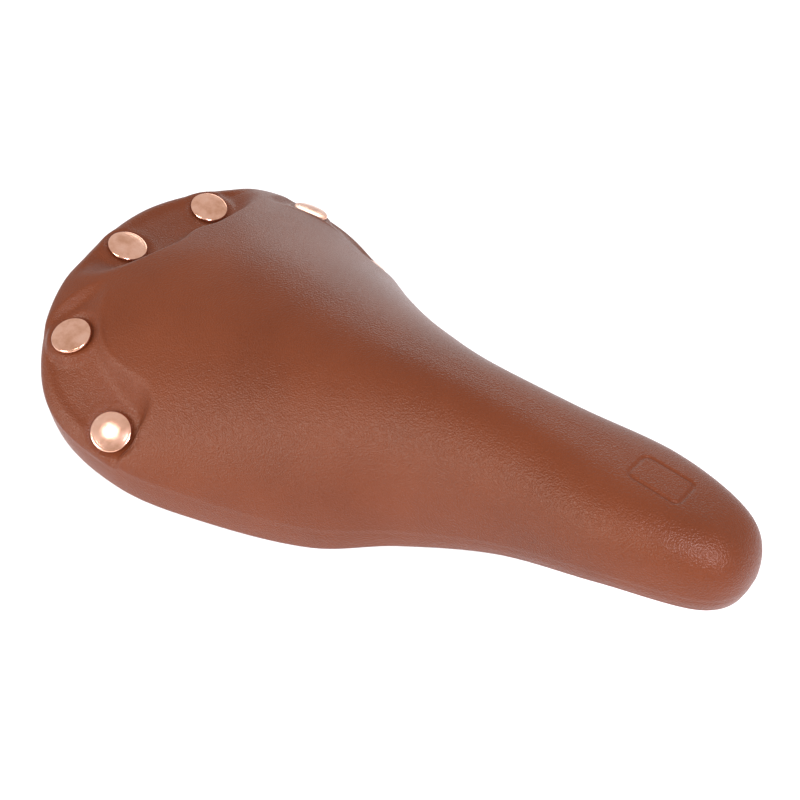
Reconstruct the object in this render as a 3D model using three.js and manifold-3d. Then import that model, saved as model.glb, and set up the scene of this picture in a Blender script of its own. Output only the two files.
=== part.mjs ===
// Padded bicycle saddle on a bent-rod rail, millimetres.
// +Z is up, the nose points to -Y, and the origin is the middle of the rails' clamp zone.
import * as THREE from "three";
import { mergeVertices } from "three/addons/utils/BufferGeometryUtils.js";
import Module from "manifold-3d";

const wasm = await Module();
wasm.setup();

// ---- Driving dimensions -------------------------------------------------

const GAP = 0.3; // clearance between touching pieces
const COVER = 1.2; // thickness of the cover
const SHELL = 3; // thickness of the base shell

// Stations along the rim, from the rear centre to the nose tip. Each one holds the half width,
// y and z of the rim, the depth of the skirt below it, the exponent of the crown's curve, the
// thickness of the pad, and the slope and weight (0 or 1) of the flat band that the rivets sit in.
const STATIONS = [
  [0, 122.5, 59.5, 6.2, 2, 8, -0.35, 1],
  [41, 114, 55, 6.2, 1.8, 8, -0.1, 1],
  [66, 104, 40.5, 7.5, 1.65, 8, 0.55, 1],
  [80, 85, 25, 11, 1.5, 8, 0.8, 1],
  [77, 57, 12.5, 13, 1.5, 8, 0.65, 1],
  [63, 26.5, 4, 13, 1.7, 8, 0.85, 0],
  [46, -8, 0, 11.5, 1.9, 8, 0.85, 0],
  [32, -37, 7, 9, 2.1, 7, 0.85, 0],
  [25.5, -72, 19.5, 6.5, 2.4, 6, 0.85, 0],
  [24, -107, 30, 6.2, 2.8, 5, 0.85, 0],
  [15, -137, 32, 6.2, 2.9, 5, 0.85, 0],
  [0, -144.5, 32, 6.2, 2.9, 5, 0.85, 0],
];
const STEPS_PER_STATION = 2;
// y and z along the crown's middle line.
const SPINE = [[123, 59.5], [97, 62], [57, 62], [7, 57.5], [-53, 56.5], [-103, 54], [-135, 50], [-145, 47]];
const FOOT_REAR = 72; // the surface's rulings start on the spine between these two points
const FOOT_NOSE = -124;
const BAND_OUTER = 20; // the rivet band's width, and where the pad's edge has reached full height
const BAND_INNER = 27;

const ROD_D = 7;
const CLAMP_PITCH = 44; // centre to centre of the two straight runs
const CLAMP_FRONT = -28;
const CLAMP_REAR = 35;
const NOSE_BEND = -113; // where the rod's U round the nose begins
const REAR_SOCKET = { x: 28, y0: 66, y1: 94, z: 26, width: 22 };
const NOSE_SOCKET = { x: 9.5, y0: -131, y1: -100, z: 33, width: 26 };
const CAP_THICKNESS = 6;

const RIVET_D = 14.9;
const RIVET_T = 1.5;
const SHANK_D = 4;
// Each pair of rivets: name, station and distance from the rim to the centre.
const RIVETS = [["rear", 0.6, 10.5], ["middle", 2.45, 13.5], ["front", 3.78, 8]];

const STAPLE_CROWN = 10;
const STAPLE_WIRE = 0.9;
const STAPLE_STATIONS = [0.28, 0.97, 1.7, 3, 4.15, 4.9, 5.6, 6.3, 7, 7.7, 8.9, 9.8];

// ---- Materials ----------------------------------------------------------

const finish = (color, roughness, metalness) => ({ color, roughness, metalness });
const LEATHER = finish(0x8b543b, 0.5, 0);
const FOAM = finish(0xd9c48f, 0.95, 0);
const NYLON = finish(0x202020, 0.6, 0);
const STEEL = finish(0x6f7276, 0.35, 1);
const COPPER = finish(0xc98a68, 0.25, 1);
const ZINC = finish(0x9a9c9e, 0.4, 1);

const saddle = new THREE.Group();
saddle.name = "saddle";

function place(name, geometry, look) {
  const mesh = new THREE.Mesh(geometry, new THREE.MeshStandardMaterial(look));
  mesh.name = name;
  saddle.add(mesh);
  return mesh;
}

// ---- Solids -------------------------------------------------------------

function toManifold(geometry) {
  const bare = geometry.clone();
  bare.deleteAttribute("normal");
  bare.deleteAttribute("uv");
  const merged = mergeVertices(bare, 1e-4);
  return new wasm.Manifold(
    new wasm.Mesh({
      numProp: 3,
      vertProperties: merged.attributes.position.array,
      triVerts: new Uint32Array(merged.index.array),
    }),
  );
}

function toGeometry(manifold) {
  const mesh = manifold.getMesh();
  const geometry = new THREE.BufferGeometry();
  geometry.setAttribute("position", new THREE.BufferAttribute(mesh.vertProperties, 3));
  geometry.setIndex(new THREE.BufferAttribute(mesh.triVerts, 1));
  geometry.computeVertexNormals();
  return geometry;
}

const cut = (solid, ...tools) => tools.reduce((left, tool) => left.subtract(tool), solid);

// Joins rows of points, going round with i, into a closed surface. The quads are split along the
// other diagonal from column turnAt on, so that an inner face folds where its outer face does.
function skin(grid, turnAt = Infinity) {
  const positions = [];
  const triangle = (...points) => {
    const apart = points.every((p, k) => p.distanceTo(points[(k + 1) % 3]) > 1e-6);
    if (apart) points.forEach((p) => positions.push(p.x, p.y, p.z));
  };
  grid.forEach((here, i) => {
    const next = grid[(i + 1) % grid.length];
    for (let j = 0; j + 1 < here.length; j++) {
      const turned = j >= turnAt;
      triangle(here[j], next[j], turned ? here[j + 1] : next[j + 1]);
      triangle(turned ? next[j] : here[j], next[j + 1], here[j + 1]);
    }
  });
  const geometry = new THREE.BufferGeometry();
  geometry.setAttribute("position", new THREE.Float32BufferAttribute(positions, 3));
  return geometry;
}

// ---- The saddle's surface -----------------------------------------------

const lerp = THREE.MathUtils.lerp;
const softplus = (x) => Math.log1p(Math.exp(x));

function mirrored(k) {
  const last = STATIONS.length - 1;
  const inside = k < 0 ? -k : k > last ? 2 * last - k : k;
  const row = [...STATIONS[inside]];
  if (inside !== k) row[0] = -row[0];
  return row;
}

// Catmull-Rom curve through the stations, t from 0 at the rear to 11 at the nose tip.
function station(t) {
  const k = Math.min(Math.floor(t), STATIONS.length - 2);
  const f = t - k;
  const [a, b, c, d] = [mirrored(k - 1), mirrored(k), mirrored(k + 1), mirrored(k + 2)];
  const blend = (i) =>
    0.5 * (2 * b[i] + (c[i] - a[i]) * f + (2 * a[i] - 5 * b[i] + 4 * c[i] - d[i]) * f * f +
      (3 * b[i] - a[i] - 3 * c[i] + d[i]) * f * f * f);
  const [x, y, z, skirt, crown, pad, slope] = a.map((_, i) => blend(i));
  return { x, y, z, skirt, crown, pad, slope, band: lerp(b[7], c[7], f) };
}

const spineLine = new THREE.SplineCurve(SPINE.map(([y, z]) => new THREE.Vector2(y, z))).getPoints(120);

function spineHeight(y) {
  const k = spineLine.findIndex((p, i) => i > 0 && y >= p.x);
  const [a, b] = k < 1 ? spineLine.slice(-2) : [spineLine[k - 1], spineLine[k]];
  return lerp(a.y, b.y, THREE.MathUtils.clamp((y - a.x) / (b.x - a.x), 0, 1));
}

// A ruling: the rim point, its outward normal in plan, the spine foot and the ring fractions.
function ruling(t, side) {
  const s = station(t);
  const ahead = station(Math.min(t + 0.01, STATIONS.length - 1));
  const behind = station(Math.max(t - 0.01, 0));
  const along = new THREE.Vector2(ahead.x - behind.x, ahead.y - behind.y).normalize();
  if (t < 0.01) along.set(1, 0);
  if (t > STATIONS.length - 1.01) along.set(-1, 0);
  let foot = FOOT_REAR - 14 * softplus((FOOT_REAR - s.y) / 14);
  foot = FOOT_NOSE + 6 * softplus((foot - FOOT_NOSE) / 6);
  const reach = Math.hypot(s.x, s.y - foot);
  const edge = lerp(0.8, 1 - BAND_INNER / reach, s.band);
  const band = lerp(0.9, 1 - BAND_OUTER / reach, s.band);
  const middle = [0, 0.36, 0.64, 0.86, 1].map((share) => share * edge);
  const border = [1, 0.4, 0.1, 0].map((share) => 1 - share * (1 - band));
  const rings = [...middle, ...border];
  const normal = new THREE.Vector2(-along.y, along.x);
  return { ...s, side, foot, reach, rings, normal };
}

const PAD_TAPER = [1, 1, 0.95, 0.88, 0.65, 0, 0, 0, 0];

function coverHeight(r, rho, ring) {
  const y = lerp(r.foot, r.y, rho);
  const crown = Math.max(0, 1 - rho ** r.crown) ** (1 / r.crown);
  const dome = lerp(r.z, spineHeight(y), crown);
  const band = r.z + r.slope * (1 - rho) * r.reach;
  return ring > 4 ? lerp(dome, band, r.band) : dome;
}

// A point of a layer: moved in from the rim by inset and down by drop plus the pad's thickness.
function layerPoint(r, ring, inset, drop, padded) {
  const rho = r.rings[ring];
  const x = (r.x - inset * r.normal.x) * rho;
  const y = r.foot + (r.y - inset * r.normal.y - r.foot) * rho;
  const pad = padded ? r.pad * PAD_TAPER[ring] : 0;
  return new THREE.Vector3(r.side * x, y, coverHeight(r, rho, ring) - drop - pad);
}

const layer = (r, count, inset, drop, padded) =>
  Array.from({ length: count }, (_, ring) => layerPoint(r, ring, inset, drop, padded));

// A point by the rim: inset towards the middle and at the height z.
const rimPoint = (r, inset, z) =>
  new THREE.Vector3(r.side * (r.x - inset * r.normal.x), r.y - inset * r.normal.y, z);

const RINGS = 9;
const PAD_RINGS = 5;
const STEPS = (STATIONS.length - 1) * STEPS_PER_STATION;
const half = Array.from({ length: STEPS + 1 }, (_, i) => i / STEPS_PER_STATION);
const loop = [
  ...half.map((t) => ruling(t, 1)),
  ...half.slice(1, -1).reverse().map((t) => ruling(t, -1)),
];

const FOLD_CORNER = 5.8; // where the turned-in edge leaves the skirt: in from the rim and below it
const FOLD_DROP = 6.2;
const SHELL_INSET = 1.3 + SHELL;
const FOLD_SAG = 0.6; // how far its free end hangs off the shell
const foldReach = (r) => lerp(THREE.MathUtils.clamp(15 - r.skirt, 0.8, 2.5), 11.6, r.band);

// The turned-in edge's free end, under the shell: along the ruling where the band is.
function foldEnd(r, up) {
  const inset = FOLD_CORNER + foldReach(r);
  const rho = 1 - inset / r.reach;
  const drop = FOLD_DROP + SHELL_INSET * r.slope + FOLD_SAG - up;
  const z = coverHeight(r, rho, 6) - drop;
  const under = new THREE.Vector3(r.side * r.x * rho, lerp(r.foot, r.y, rho), z);
  return rimPoint(r, inset, r.z - FOLD_DROP + up).lerp(under, r.band);
}

function coverProfile(r) {
  const bottom = r.z - r.skirt;
  const corner = r.z - FOLD_DROP;
  return [
    ...layer(r, RINGS, 0, 0, false),
    rimPoint(r, 0.3, r.z - r.skirt / 2),
    rimPoint(r, 1.5, bottom),
    rimPoint(r, 5.5, bottom - 0.2),
    rimPoint(r, FOLD_CORNER, Math.max(corner, bottom)),
    foldEnd(r, 0),
    foldEnd(r, COVER),
    rimPoint(r, FOLD_CORNER - COVER, corner + COVER),
    rimPoint(r, 4.3, bottom + COVER - 0.1),
    rimPoint(r, 2.6, bottom + COVER),
    rimPoint(r, 1.5, r.z - r.skirt / 2),
    ...layer(r, RINGS, COVER, COVER, false).reverse(),
  ];
}

function shellProfile(r) {
  const drop = COVER + GAP;
  const bottom = r.z - r.skirt + drop;
  return [
    ...layer(r, RINGS, drop, drop, true),
    rimPoint(r, drop + 0.3, r.z - r.skirt / 2),
    rimPoint(r, 2.9, bottom),
    rimPoint(r, 4, bottom),
    ...layer(r, RINGS, SHELL_INSET, drop + SHELL, true).reverse(),
  ];
}

function padProfile(r) {
  const drop = COVER + GAP;
  return [
    ...layer(r, PAD_RINGS, drop, drop, false),
    ...layer(r, PAD_RINGS, drop, drop - GAP, true).reverse(),
  ];
}

// The room under the shell, used to trim the sockets to its curve.
function roomProfile(r) {
  const top = layer(r, RINGS, 4.6, COVER + 2 * GAP + SHELL, true);
  return [...top, rimPoint(r, 4.6, -40), new THREE.Vector3(0, r.foot, -40)];
}

function ringed(profile, innerRings) {
  const grid = loop.map(profile);
  return toManifold(skin(grid, grid[0].length - innerRings));
}

// ---- Rivets -------------------------------------------------------------

// Places a tool at a rivet: the origin on the cover's face and +Z along the face's normal.
function rivetFrame(t, inset, side) {
  const on = (station, distance) => {
    const r = ruling(station, side);
    const rho = 1 - distance / r.reach;
    return new THREE.Vector3(side * r.x * rho, lerp(r.foot, r.y, rho), coverHeight(r, rho, 6));
  };
  const inward = on(t, inset + 3).sub(on(t, inset - 3));
  const along = on(t + 0.1, inset).sub(on(t - 0.1, inset));
  const normal = new THREE.Vector3().crossVectors(along, inward).normalize();
  if (normal.z < 0) normal.negate();
  const turn = new THREE.Quaternion().setFromUnitVectors(new THREE.Vector3(0, 0, 1), normal);
  return new THREE.Matrix4().compose(on(t, inset), turn, new THREE.Vector3(1, 1, 1));
}

// From the cover's face, along the rivet, through cover, shell and turned-in edge.
function rivetStack(t) {
  const { slope } = station(t);
  return (FOLD_DROP + SHELL_INSET * slope + FOLD_SAG) / Math.hypot(1, slope) + 1.6;
}

const profilePoints = (pairs) => pairs.map(([radius, z]) => new THREE.Vector2(radius, z));

// A lathe about +Z.
function turned(pairs, segments) {
  return new THREE.LatheGeometry(profilePoints(pairs), segments).rotateX(Math.PI / 2);
}

const SEAT = 0.75; // the head's underside over the band's faceted face

function rivetGeometry(stack) {
  const r = RIVET_D / 2;
  const s = SHANK_D / 2;
  const end = -stack - 2.4;
  const top = SEAT + RIVET_T;
  return turned(
    [[0, end], [s, end], [s, SEAT], [r, SEAT], [r, top - 0.6], [r - 0.9, top], [0, top + 0.4]],
    16,
  );
}

function washerGeometry(stack) {
  const inner = SHANK_D / 2 + GAP;
  const low = -stack - 1;
  return turned([[inner, low], [4.5, low], [4.5, -stack], [inner, -stack], [inner, low]], 16);
}

const SIDES = [["right", -1], ["left", 1]];
const rivets = RIVETS.flatMap(([pair, t, inset]) =>
  SIDES.map(([name, side]) => ({
    name: `rivet_${pair}_${name}`,
    frame: rivetFrame(t, inset, side),
    stack: rivetStack(t),
  })),
);

// A drill about +Z, with clearance round a shaft of that diameter.
const drill = (d, z0, z1) => turned([[0, z0], [d / 2 + GAP, z0], [d / 2 + GAP, z1], [0, z1]], 12);

const rivetHole = drill(SHANK_D, -14, 6);
const rivetHoles = rivets.map(({ frame }) => toManifold(rivetHole.clone().applyMatrix4(frame)));

// ---- Cover, pad and shell -----------------------------------------------

place("cover", toGeometry(cut(ringed(coverProfile, RINGS), ...rivetHoles)), LEATHER);
place("foam_pad", toGeometry(ringed(padProfile, PAD_RINGS)), FOAM);
place("base_shell", toGeometry(cut(ringed(shellProfile, RINGS), ...rivetHoles)), NYLON);

for (const { name, frame, stack } of rivets) {
  place(name, rivetGeometry(stack).applyMatrix4(frame), COPPER);
  place(name.replace("rivet", "washer"), washerGeometry(stack).applyMatrix4(frame), ZINC);
}

// ---- Rail ---------------------------------------------------------------

// The rod's centre line: straight runs joined by bends, and a U around the nose.
function railPath() {
  const x = CLAMP_PITCH / 2;
  const { x: rx, y0, y1, z: rz } = REAR_SOCKET;
  const { x: nx, z: nz } = NOSE_SOCKET;
  const points = [
    [rx, y1, rz],
    [rx, y0 + 2, rz],
    [x, CLAMP_REAR, 0],
    [x, CLAMP_FRONT, 0],
    [13, -62, 20],
    [nx, -100, nz],
    [nx, NOSE_BEND, nz],
  ].map((c) => new THREE.Vector3(...c));
  const line = [points[0]];
  for (let k = 1; k < points.length - 1; k++) {
    const corner = points[k];
    const toward = (other) => other.clone().sub(corner).setLength(k > 3 ? 6 : 9).add(corner);
    const bend = [toward(points[k - 1]), corner, toward(points[k + 1])];
    line.push(...new THREE.QuadraticBezierCurve3(...bend).getPoints(4));
  }
  for (let k = 0; k <= 5; k++) {
    const angle = (k / 10) * Math.PI;
    line.push(new THREE.Vector3(nx * Math.cos(angle), NOSE_BEND - nx * Math.sin(angle), nz));
  }
  const other = line.slice(0, -1).reverse().map((p) => new THREE.Vector3(-p.x, p.y, p.z));
  return [...line, ...other];
}

// A twelve-sided rod with a flat facing down all along it.
function rod(path, acrossFlats) {
  const radius = acrossFlats / 2 / Math.cos(Math.PI / 12);
  const sections = path.map((p, i) => {
    const ahead = path[Math.min(i + 1, path.length - 1)];
    const behind = path[Math.max(i - 1, 0)];
    const tangent = ahead.clone().sub(behind).normalize();
    const side = new THREE.Vector3().crossVectors(tangent, new THREE.Vector3(0, 0, 1)).normalize();
    const up = new THREE.Vector3().crossVectors(side, tangent);
    return Array.from({ length: 12 }, (_, k) => {
      const angle = (-(k + 0.5) * Math.PI) / 6;
      const point = p.clone().addScaledVector(side, radius * Math.cos(angle));
      return point.addScaledVector(up, radius * Math.sin(angle));
    });
  });
  const start = path[0];
  const end = path[path.length - 1];
  const around = Array.from({ length: 12 }, (_, k) => [start, ...sections.map((s) => s[k]), end]);
  return skin(around);
}

const path = railPath();
place("rail", toGeometry(toManifold(rod(path, ROD_D))), STEEL);

// ---- Sockets, caps and screws -------------------------------------------

const railRoom = toManifold(rod(path, ROD_D + 2 * GAP));
const room = ringed(roomProfile, 0);

function box(x0, x1, y0, y1, z0, z1) {
  const block = new THREE.BoxGeometry(x1 - x0, y1 - y0, z1 - z0);
  return toManifold(block.translate((x0 + x1) / 2, (y0 + y1) / 2, (z0 + z1) / 2));
}

const SCREW_D = 3.5;
const SCREW_LENGTH = 12;

function screwGeometry() {
  const r = SCREW_D / 2;
  const tip = SCREW_LENGTH + 1;
  return turned([[0, -2.1], [2, -1.9], [3.1, -1.1], [3.1, 0], [r, 0], [r, SCREW_LENGTH], [0, tip]], 12);
}

const screwHole = drill(SCREW_D, -9, SCREW_LENGTH + 1.5);

// A socket under the shell that holds the rod's upper half, a cap below it, and the cap's screws.
function railHolder(name, at, centreX, screws) {
  const x0 = centreX - at.width / 2;
  const x1 = centreX + at.width / 2;
  const low = at.z - CAP_THICKNESS;
  const holes = screws.map(([x, y]) => toManifold(screwHole.clone().translate(x, y, low)));
  const block = box(x0, x1, at.y0, at.y1, at.z, at.z + 40).intersect(room);
  const cap = box(x0, x1, at.y0, at.y1, low, at.z - GAP).intersect(room);
  place(`${name}_socket`, toGeometry(cut(block, railRoom, ...holes)), NYLON);
  place(`${name}_cap`, toGeometry(cut(cap, railRoom, ...holes)), NYLON);
  screws.forEach(([x, y], k) => {
    const suffix = screws.length > 1 ? `_${k + 1}` : "";
    place(`${name}_screw${suffix}`, screwGeometry().translate(x, y, low - GAP), ZINC);
  });
}

const rearMiddle = (REAR_SOCKET.y0 + REAR_SOCKET.y1) / 2;
for (const [name, side] of SIDES) {
  const x = side * REAR_SOCKET.x;
  railHolder(`rear_${name}`, REAR_SOCKET, x, [[x - 7.2, rearMiddle], [x + 7.2, rearMiddle]]);
}
railHolder("nose", NOSE_SOCKET, 0, [[0, -110]]);

// ---- Staples that hold the cover's turned-in edge ------------------------

function stapleGeometry() {
  const half = STAPLE_CROWN / 2;
  const w = STAPLE_WIRE;
  const rightHalf = [[half - w, -0.15], [half - w, 0.25], [half, 0.25], [half, -0.5], [half - 0.5, -w]];
  const leftHalf = rightHalf.map(([x, y]) => [-x, y]).reverse();
  const shape = new THREE.Shape(profilePoints([...rightHalf, ...leftHalf]));
  return new THREE.ExtrudeGeometry(shape, { depth: w, bevelEnabled: false }).translate(0, 0, -w / 2);
}

// The crown runs along the edge. Local +Y points into the cover.
function stapleFrame(t, side) {
  const r = ruling(t, side);
  const corner = rimPoint(r, FOLD_CORNER, r.z - FOLD_DROP);
  const upright = r.skirt > 11.2;
  const at = upright
    ? rimPoint(r, FOLD_CORNER + 0.8, (r.z - r.skirt + corner.z) / 2)
    : corner.lerp(foldEnd(r, 0), 0.5).add(new THREE.Vector3(0, 0, -1.8));
  const step = (d) => {
    const q = ruling(t + d, side);
    return rimPoint(q, FOLD_CORNER, q.z - FOLD_DROP);
  };
  const alongEdge = step(0.1).sub(step(-0.1)).normalize();
  const outwards = new THREE.Vector3(side * r.normal.x, r.normal.y, 0);
  const tilt = new THREE.Vector3(0, 0, 1).addScaledVector(outwards, r.band * r.slope);
  const into = upright ? outwards : tilt;
  into.addScaledVector(alongEdge, -into.dot(alongEdge)).normalize();
  const across = new THREE.Vector3().crossVectors(alongEdge, into);
  return new THREE.Matrix4().makeBasis(alongEdge, into, across).setPosition(at);
}

for (const [name, side] of SIDES) {
  STAPLE_STATIONS.forEach((t, k) => {
    place(`staple_${name}_${k + 1}`, stapleGeometry().applyMatrix4(stapleFrame(t, side)), ZINC);
  });
}

export default saddle;
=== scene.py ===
"""Padded bicycle saddle: the looks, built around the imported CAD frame."""
import math

import bmesh
import bpy
import numpy as np
from mathutils import Matrix, Vector


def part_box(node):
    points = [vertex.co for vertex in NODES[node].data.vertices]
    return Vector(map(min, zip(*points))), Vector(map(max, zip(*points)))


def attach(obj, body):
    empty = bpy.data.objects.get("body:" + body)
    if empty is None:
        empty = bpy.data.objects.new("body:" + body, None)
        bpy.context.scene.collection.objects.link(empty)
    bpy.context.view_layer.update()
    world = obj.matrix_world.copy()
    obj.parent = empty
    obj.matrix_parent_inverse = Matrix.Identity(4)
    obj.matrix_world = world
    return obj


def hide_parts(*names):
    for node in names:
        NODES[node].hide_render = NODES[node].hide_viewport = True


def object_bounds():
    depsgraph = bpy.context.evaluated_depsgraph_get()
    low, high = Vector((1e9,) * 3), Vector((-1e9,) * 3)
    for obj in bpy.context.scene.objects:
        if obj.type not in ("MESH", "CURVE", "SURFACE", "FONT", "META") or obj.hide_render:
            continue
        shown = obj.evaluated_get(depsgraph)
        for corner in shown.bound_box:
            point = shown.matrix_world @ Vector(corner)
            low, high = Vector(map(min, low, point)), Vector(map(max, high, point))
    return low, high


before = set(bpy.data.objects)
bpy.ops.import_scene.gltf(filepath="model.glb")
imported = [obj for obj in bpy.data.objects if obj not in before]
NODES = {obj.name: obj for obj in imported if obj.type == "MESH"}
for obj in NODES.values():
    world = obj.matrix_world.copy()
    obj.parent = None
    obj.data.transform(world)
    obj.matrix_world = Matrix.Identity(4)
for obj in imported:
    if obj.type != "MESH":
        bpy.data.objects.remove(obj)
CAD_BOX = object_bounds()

MM = 0.001

# ---- The saddle's surface, in mm ------------------------------------------
# Stations from the rear centre to the nose tip: half width, y and z of the rim, skirt depth,
# crown exponent, slope of the band that the rivets sit in, and the pad's thickness.
STATIONS = np.array([
    [0, 122.5, 59.5, 6.2, 2.0, -0.35, 8],
    [41, 114, 55, 6.2, 1.8, -0.1, 8],
    [66, 104, 40.5, 7.5, 1.65, 0.55, 8],
    [80, 85, 25, 11, 1.5, 0.8, 8],
    [77, 57, 12.5, 13, 1.5, 0.65, 8],
    [63, 26.5, 4, 13, 1.7, 0.85, 8],
    [46, -8, 0, 11.5, 1.9, 0.85, 8],
    [32, -37, 7, 9, 2.1, 0.85, 7],
    [25.5, -72, 19.5, 6.5, 2.4, 0.85, 6],
    [24, -107, 30, 6.2, 2.8, 0.85, 5],
    [15, -137, 32, 6.2, 2.9, 0.85, 5],
    [0, -144.5, 32, 6.2, 2.9, 0.85, 5],
])
# y and z along the crown's middle line.
SPINE = np.array([[123, 59.5], [97, 62], [57, 62], [7, 57.5],
                  [-53, 56.5], [-103, 54], [-135, 50], [-145, 47]])
FOOT_REAR, FOOT_NOSE = 72.0, -124.0  # the surface's rulings start on the spine between these
# Each pair of rivets: name, station, distance from the rim, and how far its head dips inwards.
RIVETS = [("rear", 0.6, 10.5, 8), ("middle", 2.45, 13.5, 17), ("front", 3.78, 8, 2)]
LAST = len(STATIONS) - 1
COVER = 1.2  # thickness of the cover
SHELL = 3  # thickness of the shell
RIM_ROLL = 1.8  # radius of the cover's upper edge
LIP_HEIGHT, LIP_INSET, LIP_WIDTH = 1.1, 3.2, 1.9  # raised line just inside the rim
SWELL = 1.1  # how far the pad bulges along the side channel
MARK_Y, MARK_DEPTH = -111, 0.4
# Distances from the rivets' line at which a channel's floor ends and the pad is at full height.
REAR_CHANNEL, SIDE_CHANNEL = (10.0, 24.0), (9.8, 15.6)


def catmull(rows, t):
    """Catmull-Rom through rows at the parameters t, with the end rows given."""
    k = np.clip(np.floor(t).astype(int), 0, len(rows) - 4)
    f = (t - k)[:, None]
    a, b, c, d = (rows[k + i] for i in range(4))
    return 0.5 * (2 * b + (c - a) * f + (2 * a - 5 * b + 4 * c - d) * f ** 2
                  + (3 * b - a - 3 * c + d) * f ** 3)


def stations(t):
    """The station values at t, from -LAST (right side) to LAST (left side)."""
    mirror = STATIONS * [-1, 1, 1, 1, 1, 1, 1]
    rows = np.vstack([mirror[1:2], STATIONS, mirror[-2:-1]])
    s = catmull(rows, np.abs(t))
    s[:, 0] *= np.where(t < 0, -1, 1)
    return s


_spine_t = np.linspace(0, len(SPINE) - 1, 400)
_spine = catmull(np.vstack([2 * SPINE[0] - SPINE[1], SPINE, 2 * SPINE[-1] - SPINE[-2]]), _spine_t)


def spine_height(y):
    return np.interp(-y, -_spine[:, 0], _spine[:, 1])


def smooth(x, lo, hi):
    u = np.clip((x - lo) / (hi - lo), 0, 1)
    return u * u * (3 - 2 * u)


def rim_frame(t):
    """Rim point, outward plan normal, spine foot and reach at t."""
    s = stations(t)
    d = stations(t + 0.01) - stations(t - 0.01)
    d[np.abs(t) > LAST - 0.011, :2] = [-1, 0]
    tangent = d[:, :2] / np.linalg.norm(d[:, :2], axis=1)[:, None]
    normal = np.stack([-tangent[:, 1], tangent[:, 0]], 1)
    middle = np.stack([0 * t, np.clip(s[:, 1], FOOT_NOSE, FOOT_REAR)], 1)
    normal *= np.sign(np.sum(normal * (s[:, :2] - middle), 1))[:, None]
    foot = FOOT_REAR - 14 * np.logaddexp(0, (FOOT_REAR - s[:, 1]) / 14)
    foot = FOOT_NOSE + 6 * np.logaddexp(0, (foot - FOOT_NOSE) / 6)
    reach = np.hypot(s[:, 0], s[:, 1] - foot)
    return s, normal, foot, reach


# Arc length along the rim, to measure the channels between rivets.
_arc_t = np.linspace(0, LAST, 1101)
_arc_xy = stations(_arc_t)[:, :2]
_arc = np.concatenate([[0], np.cumsum(np.linalg.norm(np.diff(_arc_xy, axis=0), axis=1))])


def arc_of(t):
    return np.sign(t) * np.interp(np.abs(t), _arc_t, _arc)


RIVET_ARC = [float(arc_of(np.array([t]))[0]) for _, t, _, _ in RIVETS]
RIVET_INSET = [inset for _, _, inset, _ in RIVETS]


def channel(t, s, rho):
    """Two weights: 1 in the pressed channels that hold the rivets and 0 on the padded dome, and
    the swell of the dome along the side channel's wall."""
    arc = np.abs(arc_of(t))
    rear_rivet, middle_rivet, front_rivet = RIVET_ARC
    inside = np.maximum(s - np.interp(arc, RIVET_ARC, RIVET_INSET), 0)
    spread = np.maximum(rho, 0.5)

    # the rear channel runs between the two rear rivets
    rear = np.hypot(np.maximum(arc - rear_rivet, 0) * spread, inside)
    rear += 2.0 * np.cos(np.clip(arc / rear_rivet, 0, 1) * math.pi / 2) ** 2
    w_rear = 1 - smooth(rear, *REAR_CHANNEL)

    # the side channel runs from the middle rivet to the front one, and narrows on the way
    along = np.clip((arc - middle_rivet) / (front_rivet - middle_rivet), 0, 1)
    beyond = np.maximum(middle_rivet - arc, 0) + 1.15 * np.maximum(arc - front_rivet, 0)
    side = np.hypot(beyond * spread, inside) + np.sin(along * math.pi) ** 2 + 2.0 * along
    w_side = 1 - smooth(side, *SIDE_CHANNEL)
    swell = 6.75 * w_side * (1 - w_side) ** 2 * smooth(arc, middle_rivet, middle_rivet + 14)
    return np.maximum(w_rear, w_side), swell


def emblem_depth(x, y):
    """A plain rounded frame pressed into the nose."""
    qx, qy = np.abs(x) - 3.4, np.abs(y - MARK_Y) - 6.4
    edge = np.hypot(np.maximum(qx, 0), np.maximum(qy, 0)) + np.minimum(np.maximum(qx, qy), 0) - 2.2
    return MARK_DEPTH * (1 - smooth(np.abs(edge), 0.25, 0.85))


def cover_height(s, t, foot, reach, rho, channels=True):
    """The cover's height at the fraction rho of the way from the spine to the rim at t."""
    y = foot + (s[:, 1] - foot) * rho
    soft = rho ** 2 / (rho + 0.12) * 1.12  # no crease along the spine
    power = 0.95 * s[:, 4]
    crown = np.maximum(0, 1 - soft ** power) ** (1 / power)
    dome = s[:, 2] + (spine_height(y) - s[:, 2]) * crown
    if not channels:
        return dome
    inset = (1 - rho) * reach
    roll = RIM_ROLL - np.sqrt(np.maximum(0, RIM_ROLL ** 2 - np.maximum(0, RIM_ROLL - inset) ** 2))
    lip = LIP_HEIGHT * np.exp(-((inset - LIP_INSET) / LIP_WIDTH) ** 2)
    band = s[:, 2] + s[:, 5] * inset - roll + lip
    w, swell = channel(t, inset, rho)
    return dome * (1 - w) + band * w + SWELL * swell - emblem_depth(s[:, 0] * rho, y)


# ---- Mesh helpers ---------------------------------------------------------

def new_object(name, verts, faces, material):
    mesh = bpy.data.meshes.new(name)
    mesh.from_pydata([tuple(v) for v in verts], [], faces)
    mesh.validate()
    mesh.update()
    obj = bpy.data.objects.new(name, mesh)
    bpy.context.scene.collection.objects.link(obj)
    obj.data.materials.append(material)
    return obj


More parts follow.
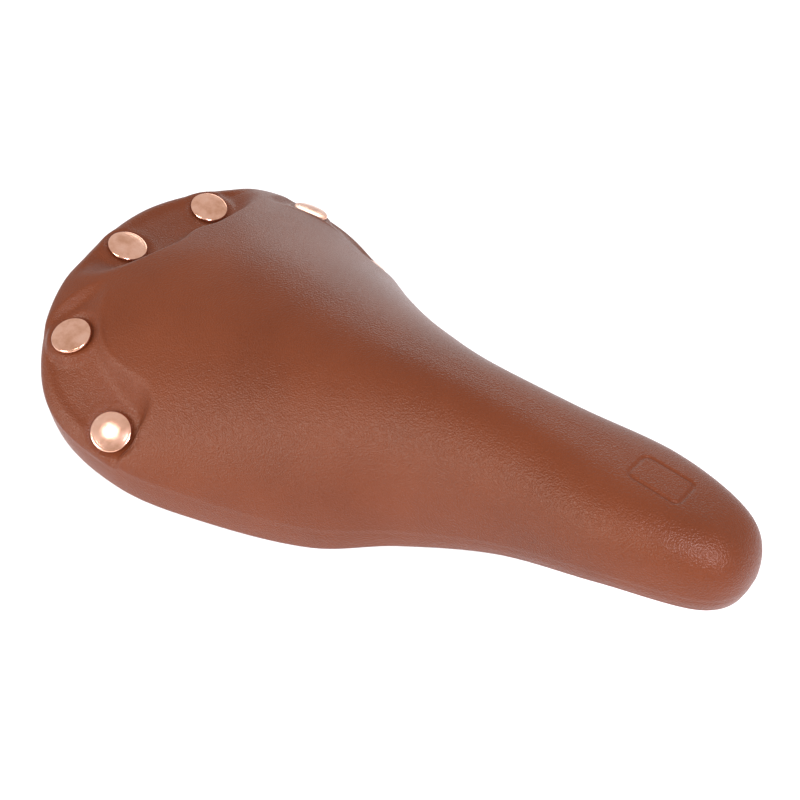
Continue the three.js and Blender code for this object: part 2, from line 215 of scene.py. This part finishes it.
def loft(name, grid, material):
    """A surface over grid, which is (n, m, 3) in mm and goes round with the first index."""
    n, m = grid.shape[:2]
    faces = []
    for i in range(n):
        row, following = i * m, (i + 1) % n * m
        faces += [(row + j, following + j, following + j + 1, row + j + 1) for j in range(m - 1)]
    obj = new_object(name, grid.reshape(-1, 3) * MM, faces, material)
    bm = bmesh.new()
    bm.from_mesh(obj.data)
    bmesh.ops.remove_doubles(bm, verts=bm.verts, dist=2e-6)
    bmesh.ops.recalc_face_normals(bm, faces=bm.faces)
    bm.to_mesh(obj.data)
    bm.free()
    obj.data.polygons.foreach_set("use_smooth", [True] * len(obj.data.polygons))
    return obj


def lathe(name, profile, material, matrix, segments):
    """Turns (radius, z) pairs in mm about +Z, then places the result."""
    angles = np.linspace(0, 2 * math.pi, segments, endpoint=False)
    r, z = np.array(profile, float).T
    x, y = np.outer(np.cos(angles), r), np.outer(np.sin(angles), r)
    grid = np.stack([x, y, np.tile(z, (segments, 1))], -1)
    obj = loft(name, grid, material)
    obj.data.transform(matrix)
    return obj


def tube(name, sections, sides, material):
    """A rod through sections, each one a centre, a radius and two directions across."""
    turns = np.linspace(0, 2 * math.pi, sides, endpoint=False)
    loops = [c + r * (np.outer(np.cos(turns), a) + np.outer(np.sin(turns), b)) for c, r, a, b in sections]
    return loft(name, np.stack(loops, 1), material)


def take_place(obj, node):
    """Puts the object in the place of a CAD node."""
    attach(obj, "root")
    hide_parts(node)


# ---- Materials ------------------------------------------------------------

class Nodes:
    """A small helper that adds and links shader nodes."""

    def __init__(self, name):
        self.material = bpy.data.materials.new(name)
        self.material.use_nodes = True
        self.tree = self.material.node_tree
        self.tree.nodes.clear()
        self.out = self.tree.nodes.new("ShaderNodeOutputMaterial")
        self.shader = self.tree.nodes.new("ShaderNodeBsdfPrincipled")
        self.link(self.shader.outputs[0], self.out.inputs["Surface"])
        self.coords = self.tree.nodes.new("ShaderNodeTexCoord").outputs["Object"]

    def link(self, a, b):
        self.tree.links.new(a, b)

    def fill(self, socket, value):
        """Links the socket to another node's output, or gives it a value."""
        if hasattr(value, "is_output"):
            self.link(value, socket)
        else:
            socket.default_value = value

    def add(self, kind, **inputs):
        node = self.tree.nodes.new(kind)
        for key, value in inputs.items():
            self.fill(node.inputs[key.replace("_", " ")], value)
        return node

    def noise(self, scale, detail=3.0, roughness=0.5, vector=None):
        vector = vector or self.coords
        node = self.add("ShaderNodeTexNoise", Vector=vector, Scale=scale, Detail=detail, Roughness=roughness)
        return node.outputs["Fac"]

    def stretched(self, scale):
        """Object coordinates multiplied by a scale, for brushed or scratched noise."""
        node = self.add("ShaderNodeMapping", Vector=self.coords)
        node.inputs["Scale"].default_value = scale
        return node.outputs[0]

    def blend(self, a, b, share):
        """a times share plus b times the rest."""
        return self.math("ADD", self.math("MULTIPLY", a, share), self.math("MULTIPLY", b, 1 - share))

    def ramp(self, fac, stops):
        node = self.tree.nodes.new("ShaderNodeValToRGB")
        self.link(fac, node.inputs[0])
        ramp = node.color_ramp
        while len(ramp.elements) < len(stops):
            ramp.elements.new(0.5)
        for element, (place, value) in zip(ramp.elements, stops):
            element.position = place
            element.color = (*value, 1) if isinstance(value, tuple) else (value, value, value, 1)
        return node.outputs[0]

    def math(self, operation, a, b):
        node = self.tree.nodes.new("ShaderNodeMath")
        node.operation = operation
        self.fill(node.inputs[0], a)
        self.fill(node.inputs[1], b)
        return node.outputs[0]

    def bump(self, height, distance, strength=1.0, normal=None):
        node = self.add("ShaderNodeBump", Height=height, Distance=distance, Strength=strength)
        if normal is not None:
            self.link(normal, node.inputs["Normal"])
        return node.outputs[0]

    def set(self, **inputs):
        for key, value in inputs.items():
            self.fill(self.shader.inputs[key.replace("_", " ")], value)
        return self.material


def leather_material():
    n = Nodes("leather_brown")
    pebble = n.add("ShaderNodeTexVoronoi", Vector=n.coords, Scale=1800.0)
    pebble.feature = "SMOOTH_F1"
    pebble.inputs["Smoothness"].default_value = 0.6
    fine = n.noise(3800.0, 2.0)
    cloud = n.noise(22.0, 4.0, 0.55)
    speck = n.noise(2200.0, 2.0, 0.6)
    colour = n.ramp(n.blend(cloud, speck, 0.7), [
        (0.30, (0.084, 0.0170, 0.0038)),
        (0.52, (0.103, 0.0220, 0.0054)),
        (0.75, (0.122, 0.0275, 0.0074)),
    ])
    rough = n.ramp(n.blend(speck, cloud, 0.7), [(0.3, 0.25), (0.7, 0.45)])
    cells = n.math("MULTIPLY", pebble.outputs["Distance"], 0.8)
    height = n.math("ADD", cells, n.math("MULTIPLY", fine, 0.35))
    grain = n.bump(height, 0.00022, 0.95)
    soft = n.bump(n.noise(45.0, 2.0), 0.0008, 0.08, grain)
    return n.set(Base_Color=colour, Roughness=rough, Normal=soft, Specular_IOR_Level=0.25,
                 Specular_Tint=(1.0, 0.88, 0.78, 1), Sheen_Weight=0.04, Sheen_Roughness=0.5,
                 Sheen_Tint=(0.9, 0.75, 0.68, 1))


def copper_material():
    n = Nodes("polished_copper")
    scratches = n.noise(420.0, 5.0, 0.65, n.stretched((1.0, 9.0, 1.0)))
    stain = n.noise(150.0, 4.0, 0.6)
    colour = n.ramp(stain, [
        (0.30, (0.60, 0.30, 0.19)),
        (0.50, (0.76, 0.42, 0.30)),
        (0.72, (0.82, 0.50, 0.38)),
    ])
    rough = n.ramp(n.blend(stain, scratches, 0.6), [(0.3, 0.10), (0.7, 0.22)])
    bump = n.bump(scratches, 0.00006, 0.35)
    return n.set(Base_Color=colour, Metallic=1.0, Roughness=rough, Normal=bump)


def steel_material(name, colour, low, high, brushed):
    n = Nodes(name)
    lines = n.noise(600.0, 4.0, 0.6, n.stretched(brushed))
    cloud = n.noise(40.0)
    base = n.ramp(cloud, [(0.3, tuple(c * 0.82 for c in colour)), (0.7, colour)])
    rough = n.ramp(n.blend(lines, cloud, 0.5), [(0.3, low), (0.7, high)])
    bump = n.bump(lines, 0.00005, 0.3)
    return n.set(Base_Color=base, Metallic=1.0, Roughness=rough, Normal=bump)


def nylon_material():
    n = Nodes("moulded_nylon")
    texture = n.add("ShaderNodeTexVoronoi", Vector=n.coords, Scale=900.0)
    colour = n.ramp(n.noise(30.0), [(0.3, (0.012, 0.012, 0.013)), (0.7, (0.024, 0.024, 0.025))])
    rough = n.ramp(n.noise(300.0), [(0.3, 0.48), (0.7, 0.62)])
    bump = n.bump(texture.outputs["Distance"], 0.00012, 0.4)
    return n.set(Base_Color=colour, Roughness=rough, Normal=bump)


def foam_material():
    n = Nodes("pad_foam")
    cells = n.add("ShaderNodeTexVoronoi", Vector=n.coords, Scale=900.0)
    colour = n.ramp(n.noise(60.0, 4.0), [(0.3, (0.50, 0.38, 0.18)), (0.7, (0.68, 0.55, 0.30))])
    bump = n.bump(cells.outputs["Distance"], 0.0006, 0.8)
    return n.set(Base_Color=colour, Roughness=0.95, Normal=bump)


LEATHER = leather_material()
COPPER = copper_material()
ROD = steel_material("rail_steel_finish", (0.46, 0.46, 0.48), 0.20, 0.34, (1.0, 12.0, 1.0))
ZINC = steel_material("zinc_plate", (0.62, 0.63, 0.64), 0.30, 0.46, (1.0, 1.0, 1.0))
NYLON = nylon_material()
FOAM = foam_material()

# ---- Cover ----------------------------------------------------------------

def rivet_matrix(t, inset, dip, side):
    """Where a rivet's head sits, with +Z out of the cover."""
    def on(station, distance):
        s, _, foot, reach = (values[0] for values in rim_frame(np.array([station])))
        rho = 1 - distance / reach
        return np.array([s[0] * rho, foot + (s[1] - foot) * rho, s[2] + s[5] * distance])

    inward = on(t, inset + 3) - on(t, inset - 3)
    along = on(t + 0.1, inset) - on(t - 0.1, inset)
    normal = np.cross(along, inward)
    normal /= np.linalg.norm(normal) * np.sign(normal[2])
    inward /= np.linalg.norm(inward)
    normal = normal * math.cos(math.radians(dip)) + inward * math.sin(math.radians(dip))
    centre = on(t, inset)
    if side < 0:
        normal[0] *= -1
        centre[0] *= -1
    turn = Vector((0, 0, 1)).rotation_difference(Vector(normal)).to_matrix().to_4x4()
    return Matrix.Translation(Vector(centre) * MM) @ turn


# The cover's edge turns in under the shell, in mm: how far in its corner lies, how far below the
# rim its free edge is, and how far below the shell's band it sags.
FOLD_CORNER, FOLD_DROP, FOLD_SAG, SHELL_INSET = 5.8, 6.2, 0.6, 4.3
FOLD_LENGTH = 11.6  # round the rear, where the rivets go through it
SIDES = (("right", -1), ("left", 1))


def band_share(t):
    """1 round the rear, where the rivets are, and 0 towards the nose."""
    return 1 - smooth(np.abs(t), 4.0, 5.0)


def fold_corner(s, normal):
    height = np.maximum(s[:, 2] - FOLD_DROP, s[:, 2] - s[:, 3] + 0.6)
    return np.column_stack([s[:, :2] - FOLD_CORNER * normal, height])


def fold_end(t, rim, up=0.0):
    """The turned-in edge's free end at each t, raised by up."""
    s, normal, foot, reach = rim
    band = band_share(t)
    inset = FOLD_CORNER + np.clip(15 - s[:, 3], 0.8, 2.5) * (1 - band) + FOLD_LENGTH * band
    rho = 1 - inset / reach
    z = s[:, 2] + s[:, 5] * inset - (FOLD_DROP + SHELL_INSET * s[:, 5] + FOLD_SAG - up)
    under = np.column_stack([s[:, 0] * rho, foot + (s[:, 1] - foot) * rho, z])
    free = np.column_stack([s[:, :2] - inset[:, None] * normal, s[:, 2] - FOLD_DROP + up])
    return free * (1 - band[:, None]) + under * band[:, None]


def seat_rivets(face, depth=0.0):
    """Presses a layer, that deep in the cover, flat under each rivet head. The outer face also
    gets a raised ring of leather round the head."""
    flat = face.reshape(-1, 3)
    for _, t, inset, dip in RIVETS:
        for _, side in SIDES:
            matrix = np.array(rivet_matrix(t, inset, dip, side))
            turn, centre = matrix[:3, :3], matrix[:3, 3] / MM
            local = (flat - centre) @ turn
            distance = np.hypot(local[:, 0], local[:, 1])
            near = (distance < 14) & (np.abs(local[:, 2]) < 8)
            press = 1 - smooth(distance, 7.2, 11.5)
            lift = -press * (local[:, 2] + depth + 0.1)
            if depth:
                lift = np.minimum(lift, 0)
            else:
                lift += 0.4 * np.exp(-((distance - 9.4) / 1.3) ** 2)
            lift *= near
            flat += lift[:, None] * turn[:, 2]
    return flat.reshape(face.shape)


# The grid: where its columns stand round the rim, closest together at the pressed frame, and its
# rings from the spine to the rim.
half_t = np.concatenate([
    np.linspace(0, 8.8, 250, endpoint=False),
    np.linspace(8.8, 9.5, 70, endpoint=False),
    np.linspace(9.5, LAST, 80),
])
around = np.concatenate([half_t, -half_t[1:-1][::-1]])
rings = np.concatenate([
    np.linspace(0, 0.45, 40, endpoint=False),
    np.linspace(0.45, 0.93, 80, endpoint=False),
    np.sin(np.linspace(math.asin(0.93), math.pi / 2, 22)),
])
RIM = rim_frame(around)
S, NORMAL, FOOT, REACH = RIM
BAND = band_share(around)
BOTTOM = S[:, 2] - S[:, 3]  # the lower edge of the skirt


def rim_point(inset, z):
    """A line round the saddle, moved in from the rim by inset, at height z."""
    return np.column_stack([S[:, :2] - inset * NORMAL, np.broadcast_to(z, len(S))])


def layer(levels, inset, height):
    """A face moved in from the rim by inset, with its height given by a function of rho."""
    rim = S[:, :2] - inset * NORMAL
    columns = [
        np.column_stack([rim[:, 0] * rho, FOOT + (rim[:, 1] - FOOT) * rho, height(np.full(len(S), rho))])
        for rho in levels
    ]
    return np.stack(columns, 1)


def top_height(rho, channels=True):
    return cover_height(S, around, FOOT, REACH, rho, channels)


def make_cover():
    face = seat_rivets(layer(rings, 0, top_height))
    edge_z = face[:, -1, 2]
    columns = list(np.moveaxis(face, 1, 0))

    # the skirt, a little hollow, then rolled under
    for k in np.linspace(0.12, 1, 8):
        columns.append(rim_point(0.2 + 0.9 * k * k, edge_z + (BOTTOM + 1.6 - edge_z) * k))
    for angle in np.linspace(0.25, 1, 5) * math.pi / 2:
        columns.append(rim_point(1.1 + 1.8 * (1 - math.cos(angle)), BOTTOM + 1.6 - 1.6 * math.sin(angle)))
    columns.append(rim_point(4.4, BOTTOM - 0.1))
    columns.append(rim_point(5.3, BOTTOM + 0.1))

    # the turned-in edge, out to its free end and back along its upper side
    corner = fold_corner(S, NORMAL)
    columns.append(corner)
    end = fold_end(around, RIM)
    for k in (0.33, 0.66, 1.0):
        columns.append(corner * (1 - k) + end * k)
    columns.append(fold_end(around, RIM, COVER))
    columns.append(rim_point(FOLD_CORNER - COVER, S[:, 2] - FOLD_DROP + COVER))
    columns.append(rim_point(2.6, BOTTOM + COVER + 0.4))

    inner = seat_rivets(layer(rings[::-6], COVER, lambda rho: top_height(rho) - COVER), COVER)
    columns.extend(np.moveaxis(inner, 1, 0))
    return loft("saddle_cover", np.stack(columns, 1), LEATHER)


cover = make_cover()
take_place(cover, "cover")

# ---- Pad and shell --------------------------------------------------------

def shell_height(rho):
    """The shell's upper face: dome less the pad, down to the band where the rivets sit."""
    inset = (1 - rho) * REACH
    dome = top_height(rho, channels=False)
    edge = 0.8 * (1 - BAND) + (1 - 27 / REACH) * BAND
    thick = S[:, 6] * (1 - 0.35 * smooth(rho, 0.3 * edge, edge)) * (1 - smooth(rho, edge, edge + 0.12))
    band = S[:, 2] + S[:, 5] * inset
    weight = BAND * (1 - smooth(inset, 20, 27))
    base = (dome - thick) * (1 - weight) + band * weight
    return np.minimum(base, top_height(rho) - 0.5) - 1.5


def make_pad():
    levels = np.linspace(0, 0.95, 60)
    top = seat_rivets(layer(levels, 1.5, lambda rho: top_height(rho) - 1.6), 1.4)
    low = seat_rivets(layer(levels[::-1], 1.5, lambda rho: shell_height(rho) + 0.2), 1.5)
    return loft("saddle_pad", np.concatenate([top, low], 1), FOAM)


def make_shell():
    levels = np.linspace(0, 1, 70)
    top = seat_rivets(layer(levels, 1.5, shell_height), 1.6)
    edge = BOTTOM + 1.5
    wall = [
        rim_point(1.8, S[:, 2] - S[:, 3] / 2),
        rim_point(2.6, edge + 0.2),
        rim_point(2.9, edge),
        rim_point(3.9, edge),
        rim_point(SHELL_INSET, edge + 0.4),
    ]
    low = layer(levels[::-1], SHELL_INSET, lambda rho: shell_height(rho) - SHELL)
    return loft("saddle_shell", np.concatenate([top, np.stack(wall, 1), low], 1), NYLON)


pad = make_pad()
take_place(pad, "foam_pad")

take_place(make_shell(), "base_shell")

# ---- Rivets ---------------------------------------------------------------

WASHER = 1  # thickness of the washers


def rivet_stack(t):
    """From the cover's face, along the rivet, through everything that it clamps."""
    slope = stations(np.array([t]))[0, 5]
    return (FOLD_DROP + SHELL_INSET * slope + FOLD_SAG) / math.hypot(1, slope) + 1.6


def washer_profile(stack):
    top, low = -stack, -stack - WASHER
    return [(2.3, top), (4.3, top), (4.5, top - 0.15), (4.5, low + 0.15), (4.3, low), (2.3, low), (2.3, top)]


def head_profile(stack):
    """A flat, slightly crowned head with a rolled edge, a shank and a clinched tail."""
    crown = [(r, 2.2 - 0.6 * (r / 6.4) ** 2.4) for r in np.linspace(0, 6.4, 20)]
    edge = [(6.7, 1.60), (7.0, 1.50), (7.25, 1.32), (7.4, 1.05),
            (7.45, 0.75), (7.4, 0.5), (7.2, 0.36), (6.8, 0.32)]
    tail = -stack - WASHER
    clinch = [(2.0, tail), (2.9, tail - 0.1), (3.0, tail - 0.5),
              (2.5, tail - 1.1), (1.2, tail - 1.4), (0, tail - 1.4)]
    return crown + edge + [(2.0, 0.32)] + clinch


for pair, station_t, inset, dip in RIVETS:
    for side_name, side in SIDES:
        node = f"rivet_{pair}_{side_name}"
        matrix = rivet_matrix(station_t, inset, dip, side)
        stack = rivet_stack(station_t)
        head = lathe(f"{node}_head", head_profile(stack), COPPER, matrix, 96)
        take_place(head, node)
        washer = lathe(f"{node}_washer", washer_profile(stack), ZINC, matrix, 64)
        take_place(washer, node.replace("rivet", "washer"))

# ---- Staples --------------------------------------------------------------

STAPLE_CROWN, STAPLE_WIRE = 10, 0.9
STAPLES = [0.28, 0.97, 1.7, 3, 4.15, 4.9, 5.6, 6.3, 7, 7.7, 8.9, 9.8]  # stations


def hem_line(t):
    """The middle of the cover's turned-in edge, where the staples go, at each t."""
    rim = rim_frame(t)
    s, normal = rim[:2]
    corner = fold_corner(s, normal)
    flat = (corner + fold_end(t, rim)) / 2
    upright = corner.copy()
    upright[:, 2] = (s[:, 2] - s[:, 3] + corner[:, 2]) / 2
    wall = (s[:, 3] > 11.2)[:, None]  # the skirt is deep enough for staples in its inner side
    into = np.where(wall, np.column_stack([normal, 0 * t]), [0, 0, 1.0])
    return np.where(wall, upright, flat), into


def make_staple(name, node, t):
    """A wire crown lying along the edge, with both legs going into the cover."""
    ends = hem_line(np.array([t - 0.05, t + 0.05]))[0]
    reach = STAPLE_CROWN / 2 / np.linalg.norm(ends[1] - ends[0]) * 0.1
    points, into = hem_line(np.linspace(t - reach, t + reach, 9))
    depths = np.array([0.9, 0.1, -0.3, -0.35, -0.35, -0.35, -0.3, 0.1, 0.9])[:, None]
    line = points + into * depths
    line[0], line[-1] = line[1] + into[1] * 1.2, line[-2] + into[-2] * 1.2
    tangent = np.gradient(line, axis=0)
    tangent /= np.linalg.norm(tangent, axis=1)[:, None]
    side = np.cross(tangent, into)
    side[0], side[-1] = side[2], side[-3]
    side /= np.linalg.norm(side, axis=1)[:, None]
    up = np.cross(side, tangent)
    radius = STAPLE_WIRE / 2
    sections = [(line[0], 0, side[0], up[0])]
    sections += [(line[k], radius, side[k], up[k]) for k in range(9)]
    sections += [(line[8], 0, side[8], up[8])]
    take_place(tube(name, sections, 12, ZINC), node)


for side_name, side in SIDES:
    for k, station_t in enumerate(STAPLES, 1):
        make_staple(f"staple_wire_{side_name}_{k}", f"staple_{side_name}_{k}", side * station_t)

# ---- Rail and screws ------------------------------------------------------

ROD_D = 7


def bezier(a, b, c, count):
    k = np.linspace(0, 1, count)[:, None]
    return a * (1 - k) ** 2 + 2 * b * k * (1 - k) + c * k ** 2


def rail_line():
    """The rod's middle line, from the left end round the nose to the right end."""
    corners = np.array([[28, 94, 26], [28, 68, 26], [22, 35, 0], [22, -28, 0], [13, -62, 20],
                        [9.5, -100, 33], [9.5, -113, 33]], float)
    parts = [corners[:1]]
    for k in range(1, len(corners) - 1):
        before, corner, after = corners[k - 1:k + 2]
        length = 6 if k > 3 else 9
        start = corner + (before - corner) / np.linalg.norm(before - corner) * length
        stop = corner + (after - corner) / np.linalg.norm(after - corner) * length
        parts.append(bezier(start, corner, stop, 14))
    angle = np.linspace(0, math.pi / 2, 14)
    parts.append(np.column_stack([9.5 * np.cos(angle), -113 - 9.5 * np.sin(angle), np.full(14, 33.0)]))
    half_line = np.vstack(parts)
    return np.vstack([half_line, (half_line * [-1, 1, 1])[-2::-1]])


def make_rail():
    line = rail_line()
    tangent = np.gradient(line, axis=0)
    tangent /= np.linalg.norm(tangent, axis=1)[:, None]
    across = np.cross(tangent, [0, 0, 1])
    across /= np.linalg.norm(across, axis=1)[:, None]
    above = np.cross(across, tangent)
    radius, chamfer = ROD_D / 2, 0.5
    ends = [(0, 0), (radius - chamfer, 0), (radius, chamfer)]
    sections = [(line[0] + tangent[0] * shift, r, across[0], above[0]) for r, shift in ends]
    sections += [(line[k], radius, across[k], above[k]) for k in range(1, len(line) - 1)]
    sections += [(line[-1] - tangent[-1] * shift, r, across[-1], above[-1]) for r, shift in ends[::-1]]
    return tube("saddle_rail", sections, 32, ROD)


take_place(make_rail(), "rail")


def make_screw(name, centre, low):
    """A pan-head screw, head down, with a hexagonal socket."""
    segments = 72
    angle = np.linspace(0, 2 * math.pi, segments, endpoint=False)
    hexagon = 1.25 / np.cos((angle + math.pi / 6) % (math.pi / 3) - math.pi / 6)
    socket = [(0 * hexagon, 1.2), (hexagon, 1.2), (hexagon, 0.05)]
    outside = [(1.6, 0.0), (2.1, 0.05), (2.6, 0.25), (2.95, 0.65), (3.1, 1.1), (3.1, 2.1),
               (1.75, 2.1), (1.75, 13), (0, 13.6)]
    columns = [
        np.column_stack([r * np.cos(angle), r * np.sin(angle), np.full(segments, float(z))])
        for r, z in socket + outside
    ]
    grid = np.stack(columns, 1) + [centre[0], centre[1], low]
    return loft(name, grid, ZINC)


for name in [n for n in NODES if "screw" in n]:
    lo, hi = (np.array(c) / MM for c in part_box(name))
    take_place(make_screw(f"{name}_pan", (lo + hi)[:2] / 2, lo[2]), name)

# ---- Materials on the CAD nodes that stay ----------------------------------

def repaint(obj, material):
    obj.data.materials.clear()
    obj.data.materials.append(material)


def bevel(obj, width):
    modifier = obj.modifiers.new("edges", "BEVEL")
    modifier.width = width
    modifier.segments = 2
    modifier.limit_method = "ANGLE"
    modifier.angle_limit = math.radians(35)


for name, obj in NODES.items():
    if name.endswith(("_socket", "_cap")):
        repaint(obj, NYLON)
        bevel(obj, 0.0008)

# ---- Floor, light and camera ----------------------------------------------

def floor_material():
    n = Nodes("studio_floor")
    shade = n.ramp(n.noise(3.0, 2.0), [(0.3, (0.93, 0.93, 0.93)), (0.7, (0.95, 0.95, 0.95))])
    return n.set(Base_Color=shade, Roughness=0.9, Specular_IOR_Level=0.1)


# The clamp holds the saddle, so the floor is 0.1 m below it.
FLOOR_HALF, FLOOR_Z = 6, CAD_BOX[0][2] - 0.1
floor_corners = [(x * FLOOR_HALF, y * FLOOR_HALF, FLOOR_Z) for x, y in [(-1, -1), (1, -1), (1, 1), (-1, 1)]]
floor = new_object("studio_floor", floor_corners, [(0, 1, 2, 3)], floor_material())

world = bpy.data.worlds.new("studio")
bpy.context.scene.world = world
world.use_nodes = True
background = world.node_tree.nodes["Background"]
background.inputs["Color"].default_value = (1, 1, 1, 1)
background.inputs["Strength"].default_value = 0.85


def area_light(name, place, target, size, power, colour=(1, 1, 1)):
    data = bpy.data.lights.new(name, "AREA")
    data.shape = "RECTANGLE"
    data.size, data.size_y = size
    data.energy = power
    data.color = colour
    obj = bpy.data.objects.new(name, data)
    obj.location = place
    obj.rotation_mode = "QUATERNION"
    obj.rotation_quaternion = (Vector(target) - Vector(place)).to_track_quat("-Z", "Y")
    bpy.context.scene.collection.objects.link(obj)
    return obj


area_light("side", (-0.94, 0.165, 0.31), (0, 0, 0.03), (0.4, 0.4), 7.5)
area_light("nose", (-0.36, -0.70, 0.65), (0, -0.13, 0.04), (0.2, 0.2), 11.0, (0.98, 0.88, 1.0))
area_light("spark", (-0.561, -0.121, 0.753), (-0.071, 0.063, 0.02), (0.14, 0.14), 0.9)
area_light("far", (1.0, 0.5, 0.47), (0, -0.03, 0.05), (0.8, 0.4), 3.2)

# Camera: azimuth, elevation and roll about the saddle, in degrees, and the focal length in
# widths of the picture.
AZIMUTH, ELEVATION, ROLL, FOCAL = -50.11, 38.18, -0.74, 1.3539
CAMERA_PLACE = Vector((-230.5, -203.3, 267.0)) * MM

camera_data = bpy.data.cameras.new("camera")
camera_data.sensor_width = 36.0
camera_data.lens = 36.0 * FOCAL
camera_data.clip_start, camera_data.clip_end = 0.01, 30.0
camera = bpy.data.objects.new("camera", camera_data)
bpy.context.scene.collection.objects.link(camera)
az, el, roll = (math.radians(v) for v in (AZIMUTH, ELEVATION, ROLL))
back = Vector((math.sin(az) * math.cos(el), -math.cos(az) * math.cos(el), math.sin(el)))
right = Vector((math.cos(az), math.sin(az), 0))
up = back.cross(right)
level = Matrix((right, up, back)).transposed()
camera.rotation_mode = "QUATERNION"
camera.rotation_quaternion = (level @ Matrix.Rotation(-roll, 3, "Z")).to_quaternion()
camera.location = CAMERA_PLACE
bpy.context.scene.camera = camera

bpy.context.scene.view_settings.view_transform = "Standard"
